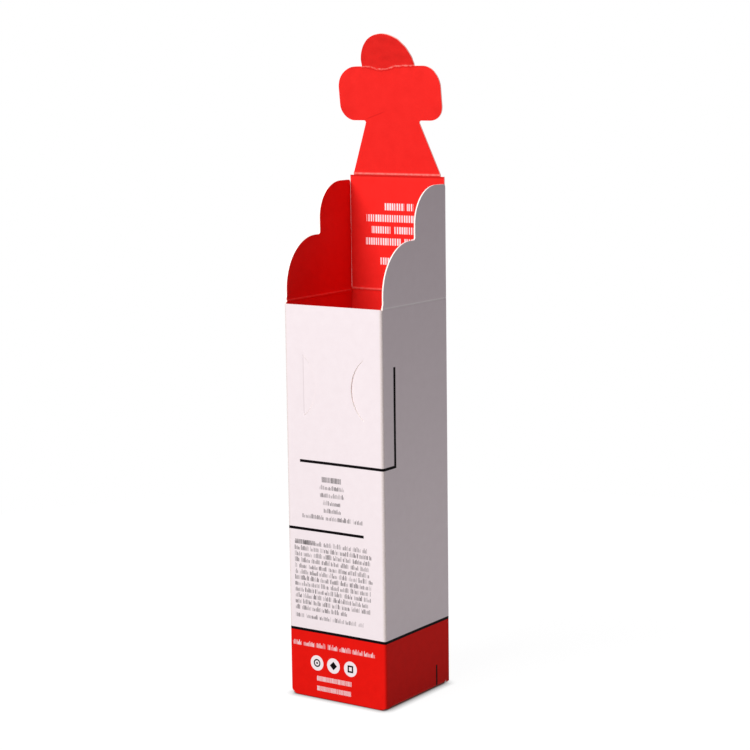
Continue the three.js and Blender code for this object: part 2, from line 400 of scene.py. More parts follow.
def side_foot(start, end, lifts):
    """The bottom edge of a side panel with its dust flap below, from one fold to the next.

    lifts are how high the worn corner is at each of the two folds.
    """
    near = start + BOTTOM_DUST_INSET
    far = end - BOTTOM_DUST_INSET
    nick = 0.06
    radius = BOTTOM_DUST_RADIUS
    low = FOOT_END + radius
    loop = [(start, lifts[0]), (start + SIDE_WEAR, SIDE_FLOOR)]
    loop += [(near - nick, SIDE_FLOOR), (near - nick / 2, FOOT_BEND), (near, SIDE_FLOOR)]
    loop += arc_points((near + radius, low), (radius, radius), 180, 270, 6)
    loop += arc_points((far - radius, low), (radius, radius), 270, 360, 6)
    loop += [(far, SIDE_FLOOR), (far + nick / 2, FOOT_BEND), (far + nick, SIDE_FLOOR)]
    loop += [(end - SIDE_WEAR, SIDE_FLOOR), (end, lifts[1])]
    return loop


def tube_outline():
    """The blank's edge, from the glue flap along the foot to the seam and back along the top."""
    glue_top = RIGHT_TOP - GLUE_SETBACK
    glue_foot = SIDE_FLOOR + GLUE_SETBACK
    slope = 2.5
    shoulder = FOLDS[0] - 1
    loop = [(GLUE_END, glue_foot + slope), (shoulder, glue_foot), (FOLDS[0], glue_foot), (FOLDS[0], 0)]
    loop += [(FOLDS[1] - WEAR_REACH, 0), (FOLDS[1] - BACK_WEAR[0], BACK_WEAR[1])]
    loop += side_foot(FOLDS[1], FOLDS[2], LEFT_CORNER_LIFT)
    loop += [(FOLDS[2] + FRONT_LEFT_WEAR[0], FRONT_LEFT_WEAR[1]), (FOLDS[2] + WEAR_REACH, FRONT_FLOOR)]
    loop += [(FOLDS[3] - 1, FRONT_FLOOR), (FOLDS[3] - FRONT_RIGHT_WEAR[0], FRONT_RIGHT_WEAR[1])]
    loop += side_foot(FOLDS[3], SEAM_END, RIGHT_CORNER_LIFT)
    loop += [(SEAM_END, RIGHT_TOP), (FOLDS[3], RIGHT_TOP)]
    loop += [(FOLDS[3], FRONT_HEIGHT), (FOLDS[2], FRONT_HEIGHT)]
    loop += [(FOLDS[2], LEFT_TOP), (FOLDS[1], LEFT_TOP)]
    loop += [(FOLDS[1], BACK_TOP), (FOLDS[0], BACK_TOP)]
    loop += [(FOLDS[0], glue_top), (shoulder, glue_top), (GLUE_END, glue_top - slope)]
    return loop


BACK_BOW = -0.15
LEFT_BOW = 0.55
FRONT_BOW = -0.2
RIGHT_BOW = -0.18


def panel_bow(u, v):
    """How far each panel of the tube bows out of flat: not at its folds, a little between."""
    even = plateau(v, (2, 40), (95, 138))
    low = plateau(v, (3, 60), (70, 141))
    panels = (
        (FOLDS[0], FOLDS[1], BACK_BOW, even),
        (FOLDS[1], FOLDS[2], LEFT_BOW, low),
        (FOLDS[2], FOLDS[3], FRONT_BOW, even),
        (FOLDS[3], SEAM_END, RIGHT_BOW, even),
    )
    for start, end, bow, rise in panels:
        if start < u < end:
            return bow * math.sin(math.pi * (u - start) / (end - start)) * rise
    return 0


def on_tube(u, v):
    """Where a point of the blank lies on the folded tube, and its outward direction."""
    middle, heading = tube_line.at(u + front_middle)
    outward = right_of(heading)
    on_side = FOLDS[1] < u < FOLDS[2] or u > FOLDS[3]
    start, end = (FOLDS[1], FOLDS[2]) if u < 0 else (FOLDS[3], SEAM_END)
    margin = 0.05
    inset = BOTTOM_DUST_INSET - margin
    if on_side and start + inset < u < end - inset and v < FOOT_BEND:
        foot, foot_heading = foot_line.at(FOOT_START - v)
        side = math.copysign(1, outward.x)
        place = Vector((side * foot.x, middle.y, foot.y))
        return place, Vector((side * -foot_heading.y, 0, foot_heading.x))
    outward = Vector((outward.x, outward.y, 0))
    offset = panel_bow(u, v) - slit_tab(u, v)
    return Vector((middle.x, middle.y, v)) + outward * offset, outward


SLIT_HINGE_ROWS = (-0.6, -0.3, 0, 0.3, 0.6)
SLIT_HINGE_REACH = 1
SLIT_GROOVE_WIDTH = 0.35
LEFT_SLIT_GROOVE = 0.1
RIGHT_SLIT_GROOVE = 0.03


def tube_relief(u, v):
    """The scored hinge behind each lock slit, and the foot of each crease at the top."""
    if FOLDS[3] < u:
        return crease_relief(u, v - HINGE["right_flap_hinge"].z)
    if FOLDS[1] < u < FOLDS[2]:
        return crease_relief(u, v - HINGE["left_flap_hinge"].z)
    if FOLDS[0] < u < FOLDS[1]:
        return crease_relief(u, v - HINGE["lid_hinge"].z)
    off_hinge = abs(abs(u) - SLIT_SPREAD / 2)
    if off_hinge > SLIT_HINGE_REACH or abs(v - SLIT_MIDDLE) > SLIT_LENGTH / 2:
        return 0, 0
    depth = LEFT_SLIT_GROOVE if u < 0 else RIGHT_SLIT_GROOVE
    return depth * ridge(off_hinge, SLIT_GROOVE_WIDTH), 0


def tube_lines():
    """Rows of points along the folds, below the creases and at the slits' hinges."""
    lines = []
    past = 1
    for start, end in tube_line.bends:
        for step in range(FOLD_STEPS + 1):
            u = start + (end - start) * step / FOLD_STEPS - front_middle
            lines.append(((u, -past), (u, BACK_TOP + past)))
    foot_start, foot_end = foot_line.bends[0]
    for start, end in ((FOLDS[1], FOLDS[2]), (FOLDS[3], SEAM_END)):
        for step in range(FOLD_STEPS + 1):
            v = FOOT_START - foot_start - (foot_end - foot_start) * step / FOLD_STEPS
            lines.append(((start + BOTTOM_DUST_INSET, v), (end - BOTTOM_DUST_INSET, v)))
    lines += rows_below(FOLDS[0], FOLDS[1], BACK_TOP)
    lines += rows_below(FOLDS[1], FOLDS[2], LEFT_TOP)
    lines += rows_below(FOLDS[3], SEAM_END, RIGHT_TOP)
    low = SLIT_MIDDLE - SLIT_LENGTH / 2
    high = SLIT_MIDDLE + SLIT_LENGTH / 2
    for side in (-1, 1):
        for off in SLIT_HINGE_ROWS:
            u = side * SLIT_SPREAD / 2 + off
            lines.append(((u, low), (u, high)))
    return lines


def make_tube():
    loops = [fine_loop(tube_outline(), PANEL_CELL), slit_loop(1), slit_loop(-1)]
    return build_sheet("printed_tube", loops, tube_lines(), PANEL_CELL, on_tube, tube_relief)


# The top flaps


FLAP_FOOT = 19.3
FLAP_HEEL = 19.98
FLAP_LENGTH = 40
FLAP_BOW = -0.16
FLAP_TILT = 0.15
HEEL_ROUND = 1.2
NOTCH_HEIGHT = 21.8
NOTCH_PLACE = 0.8
NOTCH_ROUND = 1
LOW_CROWN = -2.1
LOW_START = 4
HIGH_CROWN = 13.8
HIGH_ROUND = 12.6
# The flap's foot has a small nick just above the crease
NICK_DEPTH = 0.3
NICK_LOW = 0.9
NICK_HIGH = 1.5


def dust_outline():
    """Forward to the left: the low lobe, the notch, the high lobe and the straight heel."""
    foot = -CREASE_REACH
    high_radii = (HIGH_CROWN - NOTCH_PLACE, HIGH_ROUND)
    low_radii = (FLAP_FOOT + LOW_CROWN, NOTCH_HEIGHT - LOW_START)
    heel = (FLAP_HEEL - HEEL_ROUND, FLAP_LENGTH - HEEL_ROUND)
    notch = (NOTCH_PLACE - NOTCH_ROUND, NOTCH_HEIGHT + NOTCH_ROUND)
    loop = [(-FLAP_FOOT - NICK_DEPTH, foot), (FLAP_HEEL, foot)]
    loop += arc_points(heel, (HEEL_ROUND, HEEL_ROUND), 0, 90, 5)
    loop += arc_points((HIGH_CROWN, FLAP_LENGTH - HIGH_ROUND), high_radii, 90, 180, 22)
    loop += arc_points(notch, (NOTCH_ROUND, NOTCH_ROUND), 0, -90, 5)
    loop += arc_points((LOW_CROWN, LOW_START), low_radii, 90, 180, 24)
    loop += [(-FLAP_FOOT, NICK_HIGH), (-FLAP_FOOT - NICK_DEPTH, NICK_LOW)]
    return loop


def make_dust_flap(side):
    """side is 1 for the right flap and -1 for the left one."""
    hinge = HINGE["right_flap_hinge" if side > 0 else "left_flap_hinge"]
    outward = Vector((side, 0, 0))

    def on_flap(u, v):
        rise = max(v, 0) / FLAP_LENGTH
        bow = FLAP_BOW * math.sin(math.pi * rise) * math.cos(u / 14)
        tilt = FLAP_TILT * rise * rise * smooth(-u, -12, 6)
        return Vector((side * WALL_X, u, hinge.z + v)) + outward * (bow + tilt), outward

    name = "right_dust_flap_sheet" if side > 0 else "left_dust_flap_sheet"
    loops = [fine_loop(dust_outline(), FLAP_CELL)]
    lines = crease_lines(FLAP_HEEL - EDGE_MARGIN)
    return build_sheet(name, loops, lines, FLAP_CELL, on_flap, crease_relief)


LID_HALF = 19.98
LID_TAPER = 0.01


def make_lid():
    hinge = HINGE["lid_hinge"]
    top = LID_LENGTH - CREASE_REACH
    high = LID_HALF - LID_TAPER
    right = [(LID_HALF, -CREASE_REACH), (LID_HALF, 1), (high, top)]
    left = [(-u, v) for u, v in reversed(right)]
    # The outline starts at its left foot
    loop = left[-1:] + right + left[:-1]

    def on_lid(u, v):
        return Vector((u, WALL_Y, hinge.z + v)), Vector((0, 1, 0))

    def lid_relief(u, v):
        if v < LID_LENGTH / 2:
            return crease_relief(u, v)
        return crease_relief(u, v - LID_LENGTH)

    lines = crease_lines(LID_HALF - EDGE_MARGIN) + rows_below(EDGE_MARGIN - high, high - EDGE_MARGIN, top)
    return build_sheet("lid_sheet", [fine_loop(loop, FLAP_CELL)], lines, FLAP_CELL, on_lid, lid_relief)


TONGUE_LEAN = math.radians(7)
TONGUE_BASE = 18.4
NECK_HALF = 11.3
NECK_LENGTH = 19.3
HEAD_HALF = 21.5
HEAD_TOP = 38.4
CROWN_HALF = 11
CROWN_LENGTH = 12.1
CROWN_BEND = math.radians(15)
CROWN_BEND_REACH = 0.5
CROWN_DIP = 1.3
CROWN_DIP_PLACE = -2.5
CROWN_DIP_WIDTH = 4.5
LEAN_STEPS = 60
DENT_DEPTH = 0.16
DENT_CENTRE = (-2, HEAD_TOP + 2)
DENT_RADIUS = 16
DENT_WIDTH = 0.9
WRINKLE_HEIGHT = 0.22
WING_SWEEP = 0.5


def tongue_outline():
    """The neck, the two wings of the head and the round crown."""
    corner = 0.8
    low = 5.5
    high = 7.5
    right = [(TONGUE_BASE, -CREASE_REACH), (TONGUE_BASE, 0.3)]
    right += arc_points((NECK_HALF + corner, NECK_LENGTH - corner), (corner, corner), 180, 90, 4)
    right += arc_points((HEAD_HALF - low, NECK_LENGTH + low), (low, low), 270, 360, 12)
    right += arc_points((HEAD_HALF - high, HEAD_TOP - high), (high, high), 0, 90, 14)
    crown = arc_points((0, HEAD_TOP), (CROWN_HALF, CROWN_LENGTH), 0, 180, 40)
    left = [(-x, y) for x, y in reversed(right)]
    return right + crown + left


def crown_crease(u):
    """The crown bends at an uneven line, lowest a little left of its middle."""
    dip = CROWN_DIP * ridge(u - CROWN_DIP_PLACE, CROWN_DIP_WIDTH)
    return HEAD_TOP + 0.1 - dip + 0.22 * math.sin(u * 1.3) + 0.12 * math.sin(u * 3.1)


def tongue_dents(u, v):
    """Soft dents and wrinkles that the board took when the tongue was last closed."""
    off_arc = abs(math.dist((u, v), DENT_CENTRE) - DENT_RADIUS)
    dent = -DENT_DEPTH * ridge(off_arc, DENT_WIDTH) * smooth(-abs(u + 3), -9, -3) * smooth(-v, -26, -22)
    unevenness = noise.noise(Vector((u * 0.35, v * 0.5, 3.1)))
    wrinkle = WRINKLE_HEIGHT * unevenness * smooth(v, HEAD_TOP - 7, HEAD_TOP - 1)
    wings = -WING_SWEEP * smooth(abs(u), 11, HEAD_HALF) ** 2
    wings *= plateau(v, (NECK_LENGTH, NECK_LENGTH + 6), (HEAD_TOP - 4, HEAD_TOP + 1))
    return dent + wrinkle + wings


def make_tongue():
    hinge = HINGE["tongue_hinge"]

    def on_tongue(u, v):
        # The board is followed up from the crease, leaning from there and again at the crown
        out = 0.0
        up = -CREASE_REACH
        step = (v + CREASE_REACH) / LEAN_STEPS
        crease = crown_crease(u)
        for part in range(LEAN_STEPS):
            here = -CREASE_REACH + (part + 0.5) * step
            angle = TONGUE_LEAN * smooth(here, -CREASE_REACH, CREASE_REACH)
            angle += CROWN_BEND * smooth(here, crease - CROWN_BEND_REACH, crease + CROWN_BEND_REACH)
            out += math.sin(angle) * step
            up += math.cos(angle) * step
        outward = Vector((0, math.cos(angle), math.sin(angle)))
        middle = Vector((u, hinge.y - out, hinge.z + up))
        return middle + outward * tongue_dents(u, v), outward

    lines = crease_lines(TONGUE_BASE - 0.3)
    loops = [fine_loop(tongue_outline(), TONGUE_CELL)]
    return build_sheet("locking_tongue_sheet", loops, lines, TONGUE_CELL, on_tongue, crease_relief)


# The bottom


BOTTOM_HALF = 19.5
TUCK_HALF = 18.5
TUCK_PLAY = 0.4
TUCK_LENGTH = 12
TUCK_LEAN = math.radians(12)
BOTTOM_FOLD_RADIUS = 0.36


def make_bottom():
    hinge = HINGE["bottom_hinge"]
    rear = HALF_DEPTH - BOARD - TUCK_PLAY - BOARD / 2
    tuck = (rear - TUCK_LENGTH * math.sin(TUCK_LEAN), hinge.z + TUCK_LENGTH * math.cos(TUCK_LEAN))
    corners = [(-WALL_Y, FRONT_FLOOR), (-WALL_Y, hinge.z), (rear, hinge.z), tuck]
    line = FoldedLine(corners, BOTTOM_FOLD_RADIUS)
    tuck_foot = line.bends[1][1]

    def on_bottom(u, v):
        middle, heading = line.at(v)
        outward = right_of(heading)
        return Vector((u, middle.x, middle.y)), Vector((0, outward.x, outward.y))

    radius = 4
    loop = [(-BOTTOM_HALF, 0), (BOTTOM_HALF, 0), (BOTTOM_HALF, tuck_foot - 1), (TUCK_HALF, tuck_foot)]
    loop += arc_points((TUCK_HALF - radius, line.length - radius), (radius, radius), 0, 90, 6)
    loop += arc_points((radius - TUCK_HALF, line.length - radius), (radius, radius), 90, 180, 6)
    loop += [(-TUCK_HALF, tuck_foot), (-BOTTOM_HALF, tuck_foot - 1)]
    half = TUCK_HALF - 0.3
    lines = []
    for start, end in line.bends:
        for step in range(FOLD_STEPS + 1):
            v = start + (end - start) * step / FOLD_STEPS
            lines.append(((-half, v), (half, v)))
    return build_sheet("bottom_sheet", [fine_loop(loop, PANEL_CELL)], lines, PANEL_CELL, on_bottom)


# Shading


class Field:
    """A number or vector that varies over a surface. Sums on it add Math nodes."""

    def __init__(self, paint, socket):
        self.paint = paint
        self.socket = socket

    def math(self, operation, *others, clamp=False):
        settings = {"operation": operation, "use_clamp": clamp}
        return self.paint.node("ShaderNodeMath", settings, [self, *others])

    def __add__(self, other):
        return self.math("ADD", other)

    __radd__ = __add__

    def __sub__(self, other):
        return self.math("SUBTRACT", other)

    def __rsub__(self, other):
        return self.paint.node("ShaderNodeMath", {"operation": "SUBTRACT"}, [other, self])

    def __mul__(self, other):
        return self.math("MULTIPLY", other)

    __rmul__ = __mul__

    def __truediv__(self, other):
        return self.math("DIVIDE", other)

    def above(self, level, soft):
        """1 where the value passes the level, with a soft step."""
        return ((self - level) / soft).math("ADD", 0.5, clamp=True)

    def between(self, low, high, soft):
        return self.above(low, soft) * (1 - self.above(high, soft))

    def floor(self):
        return self.math("FLOOR")

    def fraction(self):
        return self.math("FRACT")

    def size(self):
        return self.math("ABSOLUTE")

    def either(self, other):
        return self.math("MAXIMUM", other)


def linear(red, green, blue):
    """A screen colour as the shader's linear one."""

    def channel(value):
        share = value / 255
        return share / 12.92 if share <= 0.04045 else ((share + 0.055) / 1.055) ** 2.4

    return (channel(red), channel(green), channel(blue), 1)


PRINT_BUMP = 0.00002
EDGE_BUMP = 0.00004


class Paint:
    """A material whose patterns are worked out on the flat blank, in millimetres."""

    def __init__(self, name):
        self.material = bpy.data.materials.new(name)
        self.material.use_nodes = True
        self.tree = self.material.node_tree
        self.tree.nodes.clear()
        blank = self.node("ShaderNodeUVMap", {"uv_map": "blank"}, {})
        spread = self.tree.nodes.new("ShaderNodeSeparateXYZ")
        self.tree.links.new(blank.socket, spread.inputs[0])
        self.u = Field(self, spread.outputs[0]) / BLANK_UNIT
        self.v = Field(self, spread.outputs[1]) / BLANK_UNIT

    def node(self, kind, settings, values, output=0):
        """Any node: its settings first, then its sockets' values or links."""
        made = self.tree.nodes.new(kind)
        for key, value in settings.items():
            setattr(made, key, value)
        pairs = values.items() if isinstance(values, dict) else enumerate(values)
        for key, value in pairs:
            if isinstance(value, Field):
                self.tree.links.new(value.socket, made.inputs[key])
            else:
                made.inputs[key].default_value = value
        return Field(self, made.outputs[output])

    def point(self, x, y):
        return self.node("ShaderNodeCombineXYZ", {}, [x, y])

    def chance(self, x, y):
        """A random number for each whole x and y."""
        settings = {"noise_dimensions": "2D"}
        return self.node("ShaderNodeTexWhiteNoise", settings, {"Vector": self.point(x, y)})

    def grain(self, per_mm, detail=3, stretch=1, roughness=0.55):
        """Noise with that many features to a millimetre, longer up the board where stretched."""
        values = {
            "Vector": self.point(self.u * per_mm, self.v * (per_mm / stretch)),
            "Scale": 1.0,
            "Detail": detail,
            "Roughness": roughness,
        }
        return self.node("ShaderNodeTexNoise", {"noise_dimensions": "2D"}, values)

    def mix(self, share, first, second):
        values = {0: share, 6: first, 7: second}
        return self.node("ShaderNodeMix", {"data_type": "RGBA"}, values, output=2)

    def rectangle(self, left, right, low, high, soft=0.1):
        return self.u.between(left, right, soft) * self.v.between(low, high, soft)

    def disc(self, u, v, radius, soft=0.12):
        across = self.u - u
        up = self.v - v
        distance = (across * across + up * up).math("SQRT")
        return 1 - distance.above(radius, soft)

    def surface(self, colour, roughness, bump, specular, height=PRINT_BUMP, glow=0):
        """A finished material. height is the bump's height in metres."""
        normal = self.node("ShaderNodeBump", {}, {"Strength": 1.0, "Distance": height, "Height": bump})
        values = {
            "Base Color": colour,
            "Roughness": roughness,
            "Specular IOR Level": specular,
            "Normal": normal,
            "Emission Color": colour,
            "Emission Strength": glow,
        }
        return self.finish(self.node("ShaderNodeBsdfPrincipled", {}, values))

    def finish(self, shader):
        """Puts the shader out as the material's surface."""
        end = self.tree.nodes.new("ShaderNodeOutputMaterial")
        self.tree.links.new(shader.socket, end.inputs["Surface"])
        return self.material


# Widths are shares of a stroke's pitch, the trim is a share of its row's height, and full ink is 1
STROKE_SHARE = 0.74
NARROWEST_BOLD = 0.42
BOLD_SPREAD = 0.3
LONGEST_TRIM = 0.5
FAINTEST_INK = 0.25


def row_strokes(paint, left, top, pitch, height, stroke, seed):
    """Rows of short upright strokes of uneven height and ink. height is a row's share of the pitch."""
    down = (top - paint.v) / pitch
    stroke_place = (paint.u - left) / stroke
    margin = (1 - height) / 2
    trim = paint.chance(stroke_place.floor() + seed, down.floor()) * (LONGEST_TRIM * height)
    upright = down.fraction().between(trim + margin, 1 - margin, 0.1)
    chance = paint.chance(stroke_place.floor(), down.floor() + seed)
    ink = chance * (1 - FAINTEST_INK) + FAINTEST_INK
    return upright * (1 - stroke_place.fraction().above(STROKE_SHARE, 0.2)) * ink


def bold_strokes(paint, left, top, pitch, height, stroke, seed):
    """Rows of thick upright strokes of one height and uneven width."""
    down = (top - paint.v) / pitch
    stroke_place = (paint.u - left) / stroke
    margin = (1 - height) / 2
    chance = paint.chance(stroke_place.floor() + seed, down.floor())
    width = chance * BOLD_SPREAD + NARROWEST_BOLD
    upright = 1 - (stroke_place.fraction() - width).above(0, 0.15)
    return upright * down.fraction().between(margin, 1 - margin, 0.05)


def words(paint, spans, top, pitch, height, stroke, seed, strokes=row_strokes):
    """Strokes that stand for words. Each span is a word's left end, right end and middle height."""
    shown = None
    for left, right, middle in spans:
        word = paint.rectangle(left, right, middle - pitch / 2, middle + pitch / 2)
        shown = word if shown is None else shown.either(word)
    return shown * strokes(paint, spans[0][0], top, pitch, height, stroke, seed)


# Shares of a word's pitch
SHORTEST_WORD = 0.8
WORD_SPREAD = 0.12
ROW_SHIFT = 0.6


def paragraph(paint, left, right, top, pitch, rows, height, stroke, word, seed, ragged=0):
    """Rows of strokes in word-long groups. ragged is how much shorter the shortest row is."""
    down = (top - paint.v) / pitch
    row = down.floor()
    across = paint.u.between(left, right - paint.chance(row + seed, seed) * ragged, 0.1)
    word_place = (paint.u - left) / word + paint.chance(row, seed + 9) * ROW_SHIFT
    word_end = paint.chance(word_place.floor(), row + seed) * WORD_SPREAD + SHORTEST_WORD
    in_word = 1 - (word_place.fraction() - word_end).above(0, 0.04)
    shown = across * down.between(0, rows, 0.02) * in_word
    return shown * row_strokes(paint, left, top, pitch, height, stroke, seed)


WHITE = linear(239, 228, 230)
WHITE_MOTTLE = linear(233, 221, 223)
INK = linear(12, 8, 10)
# Painted shade for the crease at the left lock slit's hinge
HINGE_SHADE_GREY = linear(176, 164, 164)
BAND_RED = linear(232, 22, 14)
BAND_MOTTLE = linear(216, 18, 11)
MESSAGE_WHITE = linear(255, 236, 238)
# Worn coating that also stands as a painted highlight on a flap's crease
RUBBED_AND_LIT_WHITE = linear(255, 250, 248)
INNER_RED = linear(245, 44, 39)
INNER_MOTTLE = linear(233, 34, 30)
# Painted shade for the dips below creases and in dents
SHADED_RED = linear(170, 8, 10)
# Cracked ink that also stands as a painted highlight on a crease's bead
CRACKED_AND_LIT_RED = linear(255, 150, 140)
CORE = linear(252, 246, 240)
STAINED_CORE = linear(252, 150, 140)
# The base's raw edge: red-stained, and darkened as painted shade for the gap under the side panels
SHADED_BASE_CORE = linear(120, 20, 16)
PULP_SHADE = linear(222, 208, 196)
# Wear and painted shade at the upright folds
FOLD_WEAR_AND_SHADE_TINT = linear(216, 202, 192)
PRINT_SHINE = 0.05
EDGE_SHINE = 0.1
# The middle of the black rule above the red band
BORDER = 24.4
RULE_HALF = 0.5
UPPER_RULE = 85.2
LOWER_RULE = 60.9


def fold_wear_and_shade(paint, folds, width):
    """Where the board at the upright folds is worn, and where painted shade darkens it as it turns round
    them.
    """
    worn = None
    for fold in folds:
        near = 1 - (paint.u - fold).size().above(width, width)
        worn = near if worn is None else worn.either(near)
    return worn


def board_bump(paint):
    """Fine fibre under the coating and a slow unevenness from printing."""
    return paint.grain(2.6, detail=4, stretch=1.8) * 0.5 + paint.grain(0.5, detail=2) * 0.8


def panel_rules(paint):
    """The black rules: one round the corner to the right panel, one on the front, one at the foot."""
    corner = FOLDS[3]
    low = UPPER_RULE - RULE_HALF
    rules = paint.rectangle(-14.8, corner + 7.6, low, UPPER_RULE + RULE_HALF)
    rules = rules.either(paint.rectangle(corner + 6.4, corner + 7.7, low, 119.8))
    rules = rules.either(paint.rectangle(FOLDS[2], 11.9, LOWER_RULE - RULE_HALF, LOWER_RULE + RULE_HALF))
    rules = rules.either(paint.rectangle(corner + 31.5, corner + 32.4, -2, 8.7))
    return rules.either(paint.v.between(BORDER - RULE_HALF, BORDER + RULE_HALF, 0.1))


# Each word of the heading, the list and the block's start: its left end, right end and middle height
HEADING = ((-5.6, 2.6, 79.3),)
LIST_ROWS = ((-6.8, 3.7, 76.6), (-6.6, 3.6, 73.9), (-5.2, 2.1, 71.2), (-5.1, 2.2, 68.5))
LAST_ROW = ((-14.3, -5, 65.8), (-4.3, 6.6, 65.8), (7.4, 11.6, 65.8))
FIRST_WORD = ((-17.5, -9, 56.15),)
HEADING_PRINT = {"top": 80.9, "pitch": 3.2, "height": 0.6, "stroke": 0.56, "strokes": bold_strokes}
LIST_PRINT = {"height": 0.62, "stroke": 0.46}
BLOCK_PRINT = {"pitch": 2.15, "height": 0.84, "stroke": 0.47, "word": 4.2}
FIRST_PRINT = {"top": 57.2, "pitch": 2.15, "height": 0.76, "stroke": 0.42, "strokes": bold_strokes}
FOOT_PRINT = {"top": 30.7, "pitch": 2.3, "height": 0.72, "stroke": 0.5, "word": 5.6}


def panel_rows(paint):
    """The front panel's rows of small print."""
    heading = words(paint, HEADING, seed=3, **HEADING_PRINT)
    names = words(paint, LIST_ROWS, top=77.96, pitch=2.72, seed=5, **LIST_PRINT)
    last_name = words(paint, LAST_ROW, top=67.2, pitch=2.8, seed=8, **LIST_PRINT)
    block = paragraph(paint, -17.8, 15.9, top=57.2, rows=11, seed=12, ragged=3.6, **BLOCK_PRINT)
    block_end = paragraph(paint, -17.8, 4.3, top=33.55, rows=1, seed=15, **BLOCK_PRINT)
    first_word = words(paint, FIRST_WORD, seed=19, **FIRST_PRINT)
    foot = paragraph(paint, -17.9, 11.2, rows=1, seed=17, **FOOT_PRINT)
    strong = heading.either(first_word) * 0.85
    light = names.either(last_name).either(foot) * 0.85
    return strong.either(light).either(block.either(block_end) * 0.88)


BAND_ROW = {"top": 20.9, "pitch": 2.9, "height": 0.66, "stroke": 0.5, "word": 5.2}
BAND_PAIR = ((-9, 5.8, 7.4), (-9, 5.6, 3.8))
PAIR_PRINT = {"top": 9.2, "pitch": 3.6, "height": 0.48, "stroke": 0.5, "strokes": bold_strokes}
# The middles of the three badges, with a ring, a diamond and an open square on them
BADGES = (-8.9, -1.8, 5.5)
BADGE_HEIGHT = 12.9
BADGE_RADIUS = 2.75


def band_marks(paint):
    """White rows and three round badges on the red band, and the badges' plain black signs."""
    row = paragraph(paint, -19.2, 15.9, rows=1, seed=21, **BAND_ROW)
    pair = words(paint, BAND_PAIR, seed=27, **PAIR_PRINT)
    white = row.either(pair * 0.9)
    height = BADGE_HEIGHT
    for place in BADGES:
        white = white.either(paint.disc(place, height, BADGE_RADIUS))
    ring_place, diamond_place, square_place = BADGES
    ring = paint.disc(ring_place, height, 1.45) * (1 - paint.disc(ring_place, height, 0.95))
    centre_dot = paint.disc(ring_place, height, 0.4)
    diamond = 1 - ((paint.u - diamond_place).size() + (paint.v - height).size()).above(1.55, 0.12)
    square = paint.rectangle(square_place - 1.2, square_place + 1.2, height - 1.3, height + 1.3)
    opening = paint.rectangle(square_place - 0.6, square_place + 0.6, height - 0.7, height + 0.7)
    return white, ring.either(centre_dot).either(diamond).either(square * (1 - opening))


def slit_hinge_shade(paint):
    """Painted shade along the hinge of the left lock slit's tab: a grey line where the tab bends."""
    line = 1 - (paint.u + SLIT_SPREAD / 2).size().above(0.1, 0.25)
    half = SLIT_LENGTH / 2 - 0.6
    return line * paint.v.between(SLIT_MIDDLE - half, SLIT_MIDDLE + half, 0.5) * 0.5


def board_tone(paint):
    """The small unevenness of a printed colour, from 0 to 1."""
    fibre = paint.grain(3.2, detail=3, stretch=2.2)
    return fibre, (paint.grain(0.3, detail=3) * 0.8 + fibre * 0.5 - 0.3).math("ADD", 0, clamp=True)


def printed_outside(name, printed):
    """Coated white board. printed says whether this piece carries the tube's print."""
    paint = Paint(name)
    fibre, tone = board_tone(paint)
    colour = paint.mix(tone, WHITE, WHITE_MOTTLE)
    gloss = fibre * 0.12 + 0.45
    if printed:
        red = 1 - paint.v.above(BORDER, 0.1)
        speckle = paint.grain(1.6, detail=4).above(0.45, 0.4) * 0.4 + 0.25
        # The folds' darker tint is wear and painted shade of the rounded folds
        worn = fold_wear_and_shade(paint, FOLDS, 0.5) * speckle
        colour = paint.mix(worn, colour, FOLD_WEAR_AND_SHADE_TINT)
        # Painted shade at the left lock slit's hinge
        colour = paint.mix(slit_hinge_shade(paint), colour, HINGE_SHADE_GREY)
        colour = paint.mix(red, colour, paint.mix(tone, BAND_RED, BAND_MOTTLE))
        white, black = band_marks(paint)
        colour = paint.mix(white, colour, WHITE)
        colour = paint.mix(panel_rows(paint).either(panel_rules(paint)).either(black), colour, INK)
        gloss = gloss + worn * 0.2
    else:
        # A pale line along the crease: worn coating and a painted highlight
        rubbed_and_lit = (1 - paint.v.size().above(0.2, 0.3)) * (paint.grain(1.2, detail=3) * 0.6 + 0.4)
        colour = paint.mix(rubbed_and_lit, colour, RUBBED_AND_LIT_WHITE)
    return paint.surface(colour, gloss, board_bump(paint), PRINT_SHINE)


def base_outside():
    """The band's red, carried on under the box."""
    paint = Paint("red_base_outside")
    fibre, tone = board_tone(paint)
    colour = paint.mix(tone, BAND_RED, BAND_MOTTLE)
    return paint.surface(colour, fibre * 0.12 + 0.45, board_bump(paint), PRINT_SHINE)


# Each word of the lid's message: its left end, right end and middle height
MESSAGE = (
    (-5.2, 3.1, 29.9),
    (4.3, 7.1, 29.9),
    (-13.1, 7.3, 25.7),
    (-10.9, -2.9, 21.55),
    (-1.5, 7.8, 21.55),
    (-13.7, 1.6, 17.4),
    (3.1, 10.5, 17.4),
)
MESSAGE_END = ((-7.3, 6.5, 10.4),)
MESSAGE_PRINT = {"height": 0.6, "stroke": 1.02, "strokes": bold_strokes}


def crease_marks(paint, place, strength):
    """Along a crease: a pale line of cracked ink that is also a painted highlight on the bead, and painted
    shade in the dip below it.
    """
    pale = 1 - (paint.v - (place + 0.12)).size().above(0.38, 0.4)
    dark = 1 - (paint.v - (place + DIP_PLACE)).size().above(0.22, 0.5)
    return pale * (paint.grain(0.8, detail=4) * 0.9 + 0.1) * strength, dark * (0.65 * strength)


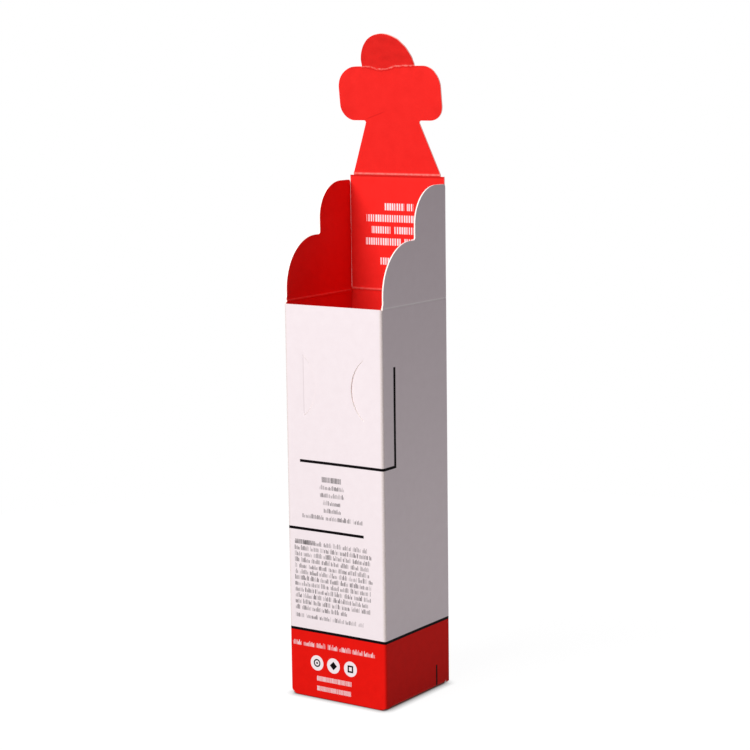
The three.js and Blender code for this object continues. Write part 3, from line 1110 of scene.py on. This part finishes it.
def crown_crack_and_shade(paint):
    """The broken, wandering line where the crown bends: cracked ink that is also a painted highlight, with
    a line of painted shade just below it.
    """
    from_dip = (paint.u - CROWN_DIP_PLACE) / CROWN_DIP_WIDTH
    dip = (from_dip * from_dip * -1).math("EXPONENT") * CROWN_DIP
    wander = (paint.grain(0.5, detail=3) - 0.5) * 1.1
    height = paint.v - (HEAD_TOP + 0.2) + dip + wander
    pale = (1 - height.size().above(0.2, 0.3)) * (paint.grain(0.6, detail=4).above(0.45, 0.25) * 0.75)
    dark = (1 - (height + 0.55).size().above(0.12, 0.4)) * 0.5
    return pale, dark


def neck_dent_shade(paint):
    """Painted shade in a dent that runs from the neck's left shoulder up into the head."""
    height = paint.v - (paint.u + NECK_HALF) * 0.32 - NECK_LENGTH
    return (1 - (height - 0.4).size().above(0.1, 0.4)) * paint.u.between(-10.8, -3.4, 2) * 0.5


def inner_red(name, creases, message=False, tongue=False):
    """The printed inside: solid red, paler where the ink has cracked at a crease, which is also a painted
    highlight on the crease's bead, with painted shade in the dips below creases and in the tongue's dent.
    """
    paint = Paint(name)
    fibre = paint.grain(2.4, detail=3, stretch=2.5)
    tone = (paint.grain(0.25, detail=4) * 0.7 + fibre * 0.5 - 0.3).math("ADD", 0, clamp=True)
    colour = paint.mix(tone, INNER_RED, INNER_MOTTLE)
    if message:
        written = words(paint, MESSAGE, top=31.98, pitch=4.17, seed=31, **MESSAGE_PRINT)
        last_word = words(paint, MESSAGE_END, top=12.5, pitch=4.2, seed=37, **MESSAGE_PRINT)
        written = written.either(last_word)
        colour = paint.mix(written, colour, MESSAGE_WHITE)
    marks = [crease_marks(paint, place, strength) for place, strength in creases]
    if tongue:
        pale, dark = crown_crack_and_shade(paint)
        marks.append((pale, dark.either(neck_dent_shade(paint))))
    for pale, dark in marks:
        # Painted shade first, then the pale cracked ink with its painted highlight
        colour = paint.mix(dark, colour, SHADED_RED)
        colour = paint.mix(pale, colour, CRACKED_AND_LIT_RED)
    return paint.surface(colour, fibre * 0.14 + 0.5, board_bump(paint), PRINT_SHINE)


def raw_edge(name, core, glow):
    """The cut edge of the board: soft pulp. glow is painted light: an emission that stands for the light
    the board passes on.
    """
    paint = Paint(name)
    pulp = paint.grain(4, detail=4)
    colour = paint.mix(pulp * 0.35, core, PULP_SHADE)
    return paint.surface(colour, pulp * 0.1 + 0.8, pulp, EDGE_SHINE, EDGE_BUMP, glow)


# The box, piece by piece


# Both board edges glow a little: painted light
board_edge = raw_edge("raw_board_edge", CORE, 0.1)
red_edge = raw_edge("stained_board_edge", STAINED_CORE, 0.35)
# Dark red-stained edge, partly painted shade in the gap under the sides
base_edge = raw_edge("shaded_red_base_edge", SHADED_BASE_CORE, 0)
tube_outside = printed_outside("printed_white_outside", True)
flap_outside = printed_outside("plain_white_outside", False)
tube_red = inner_red("tube_red_inside", ())
flap_red = inner_red("flap_red_inside", ((0, 0.3),))
lid_red = inner_red("lid_red_inside", ((0, 0.55), (LID_LENGTH, 0.9)), message=True)
tongue_red = inner_red("tongue_red_inside", ((0, 0.9),), tongue=True)


def dress(piece, outside, inner, edge, node):
    """Gives a sheet its three materials, and hides the CAD part that it stands for."""
    for material in (outside, inner, edge):
        piece.data.materials.append(material)
    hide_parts(node)
    return piece


def across(hinge, direction):
    """Where a crease's bend starts and ends, in metres."""
    reach = Vector(direction) * CREASE_REACH
    return (hinge - reach) * MM, (hinge + reach) * MM


tube = dress(make_tube(), tube_outside, tube_red, board_edge, "carton_body")
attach(tube, "carton")

right_flap = dress(make_dust_flap(1), flap_outside, flap_red, board_edge, "right_dust_flap")
start, end = across(HINGE["right_flap_hinge"], (0, 0, 1))
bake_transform(right_flap)

left_flap = dress(make_dust_flap(-1), flap_outside, flap_red, board_edge, "left_dust_flap")
start, end = across(HINGE["left_flap_hinge"], (0, 0, 1))
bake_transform(left_flap)

lid = dress(make_lid(), flap_outside, lid_red, red_edge, "lid_panel")
start, end = across(HINGE["lid_hinge"], (0, 0, 1))
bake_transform(lid)

tongue = dress(make_tongue(), flap_outside, tongue_red, red_edge, "lid_tongue")
start, end = across(HINGE["tongue_hinge"], (0, 0, 1))
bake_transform(tongue)

bottom = dress(make_bottom(), base_outside(), tube_red, base_edge, "bottom_flap")
start = (HINGE["bottom_hinge"] + Vector((0, 0, CREASE_REACH))) * MM
end = (HINGE["bottom_hinge"] + Vector((0, CREASE_REACH, 0))) * MM
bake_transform(bottom)


# Floor, light and camera: these lengths are in metres


FLOOR_RADIUS = 0.35
FLOOR_SIDES = 64
FLOOR_TINT = 0.08
FLOOR_SEEN = 0.96
FLOOR_GLOW_LEFT = 0.2
FLOOR_GLOW_RIGHT = 0.7
CONTACT_REACH = 0.0032
FILL = (0.188, 0.171, 0.189, 1)
KEY_PLACE = (-0.33, -1.14, 1.0)
KEY_SIZE = 1.0
KEY_POWER = 27.3
BACK_PLACE = (-0.5, 1.2, 0.7)
BACK_SIZE = 0.7
BACK_POWER = 3
LAMP_TARGET = Vector((0, 0, 0.11))


def grey(level):
    return (level, level, level, 1)


def studio_floor():
    """A round white table that glows a little, so that the box's shadow on it stays faint."""
    mesh = bpy.data.meshes.new("studio_floor")
    angles = [math.tau * step / FLOOR_SIDES for step in range(FLOOR_SIDES)]
    rim = [(FLOOR_RADIUS * math.cos(a), FLOOR_RADIUS * math.sin(a), 0) for a in angles]
    mesh.from_pydata(rim, [], [tuple(range(FLOOR_SIDES))])
    blank = mesh.uv_layers.new(name="blank")
    for loop in mesh.loops:
        x, y, _ = rim[loop.vertex_index]
        blank.data[loop.index].uv = (x / MM * BLANK_UNIT, y / MM * BLANK_UNIT)
    floor = bpy.data.objects.new("studio_floor", mesh)
    bpy.context.scene.collection.objects.link(floor)
    paint = Paint("white_floor")
    # Near the box, ambient occlusion darkens the floor's glow: a painted contact shadow
    contact = {"Color": grey(FLOOR_SEEN), "Distance": CONTACT_REACH}
    shade = paint.node("ShaderNodeAmbientOcclusion", {}, contact)
    seen = paint.node("ShaderNodeEmission", {}, {"Color": shade})
    # The floor to the right of the box throws more light on it
    glow = paint.mix(paint.u.above(40, 80), grey(FLOOR_GLOW_LEFT), grey(FLOOR_GLOW_RIGHT))
    lighting = paint.node("ShaderNodeEmission", {}, {"Color": glow})
    to_eye = paint.node("ShaderNodeLightPath", {}, {}, output="Is Camera Ray")
    shining = paint.node("ShaderNodeMixShader", {}, [to_eye, lighting, seen])
    matt = paint.node("ShaderNodeBsdfDiffuse", {}, {"Color": grey(FLOOR_TINT)})
    mesh.materials.append(paint.finish(paint.node("ShaderNodeAddShader", {}, [shining, matt])))


def studio_world():
    """White to the eye, and a dimmer, slightly pink fill for what it lights."""
    world = bpy.data.worlds.new("studio")
    bpy.context.scene.world = world
    world.use_nodes = True
    tree = world.node_tree
    path = tree.nodes.new("ShaderNodeLightPath")
    choice = tree.nodes.new("ShaderNodeMixShader")
    tree.links.new(path.outputs["Is Camera Ray"], choice.inputs[0])
    for socket, colour in enumerate((FILL, grey(1)), start=1):
        sky = tree.nodes.new("ShaderNodeBackground")
        sky.inputs["Color"].default_value = colour
        tree.links.new(sky.outputs[0], choice.inputs[socket])
    tree.links.new(choice.outputs[0], tree.nodes["World Output"].inputs["Surface"])


def soft_light(name, place, size, power):
    """A square lamp that faces the middle of the box."""
    light = bpy.data.lights.new(name, "AREA")
    light.size = size
    light.energy = power
    lamp = bpy.data.objects.new(name, light)
    lamp.location = place
    toward = Vector(place) - LAMP_TARGET
    lamp.rotation_euler = toward.to_track_quat("Z", "Y").to_euler()
    bpy.context.scene.collection.objects.link(lamp)


# The camera, with lengths in millimetres again
AZIMUTH = math.radians(34.59)
ELEVATION = math.radians(8.644)
ROLL = math.radians(-0.74)
DISTANCE = 740.31
SHIFT_RIGHT = 1.38
SHIFT_UP = 112.49
FOCAL_LENGTH = 98.71
SENSOR_WIDTH = 36


def photo_camera():
    """The photograph's view: a long lens a little above the box, seen from its right corner."""
    level = math.cos(ELEVATION)
    back = Vector((math.sin(AZIMUTH) * level, -math.cos(AZIMUTH) * level, math.sin(ELEVATION)))
    right = Vector((0, 0, 1)).cross(back).normalized()
    up = back.cross(right)
    turned_right = right * math.cos(ROLL) + up * math.sin(ROLL)
    turned_up = up * math.cos(ROLL) - right * math.sin(ROLL)
    place = (back * DISTANCE + turned_right * SHIFT_RIGHT + turned_up * SHIFT_UP) * MM
    data = bpy.data.cameras.new("photo_camera")
    data.sensor_width = SENSOR_WIDTH
    data.lens = FOCAL_LENGTH
    data.clip_start = 0.01
    camera = bpy.data.objects.new("photo_camera", data)
    turned = Matrix((turned_right, turned_up, back)).transposed()
    camera.matrix_world = Matrix.Translation(place) @ turned.to_4x4()
    bpy.context.scene.collection.objects.link(camera)
    bpy.context.scene.camera = camera


studio_floor()
studio_world()
soft_light("key_light", KEY_PLACE, KEY_SIZE, KEY_POWER)
soft_light("back_fill", BACK_PLACE, BACK_SIZE, BACK_POWER)
photo_camera()
bpy.context.scene.view_settings.view_transform = "Standard"
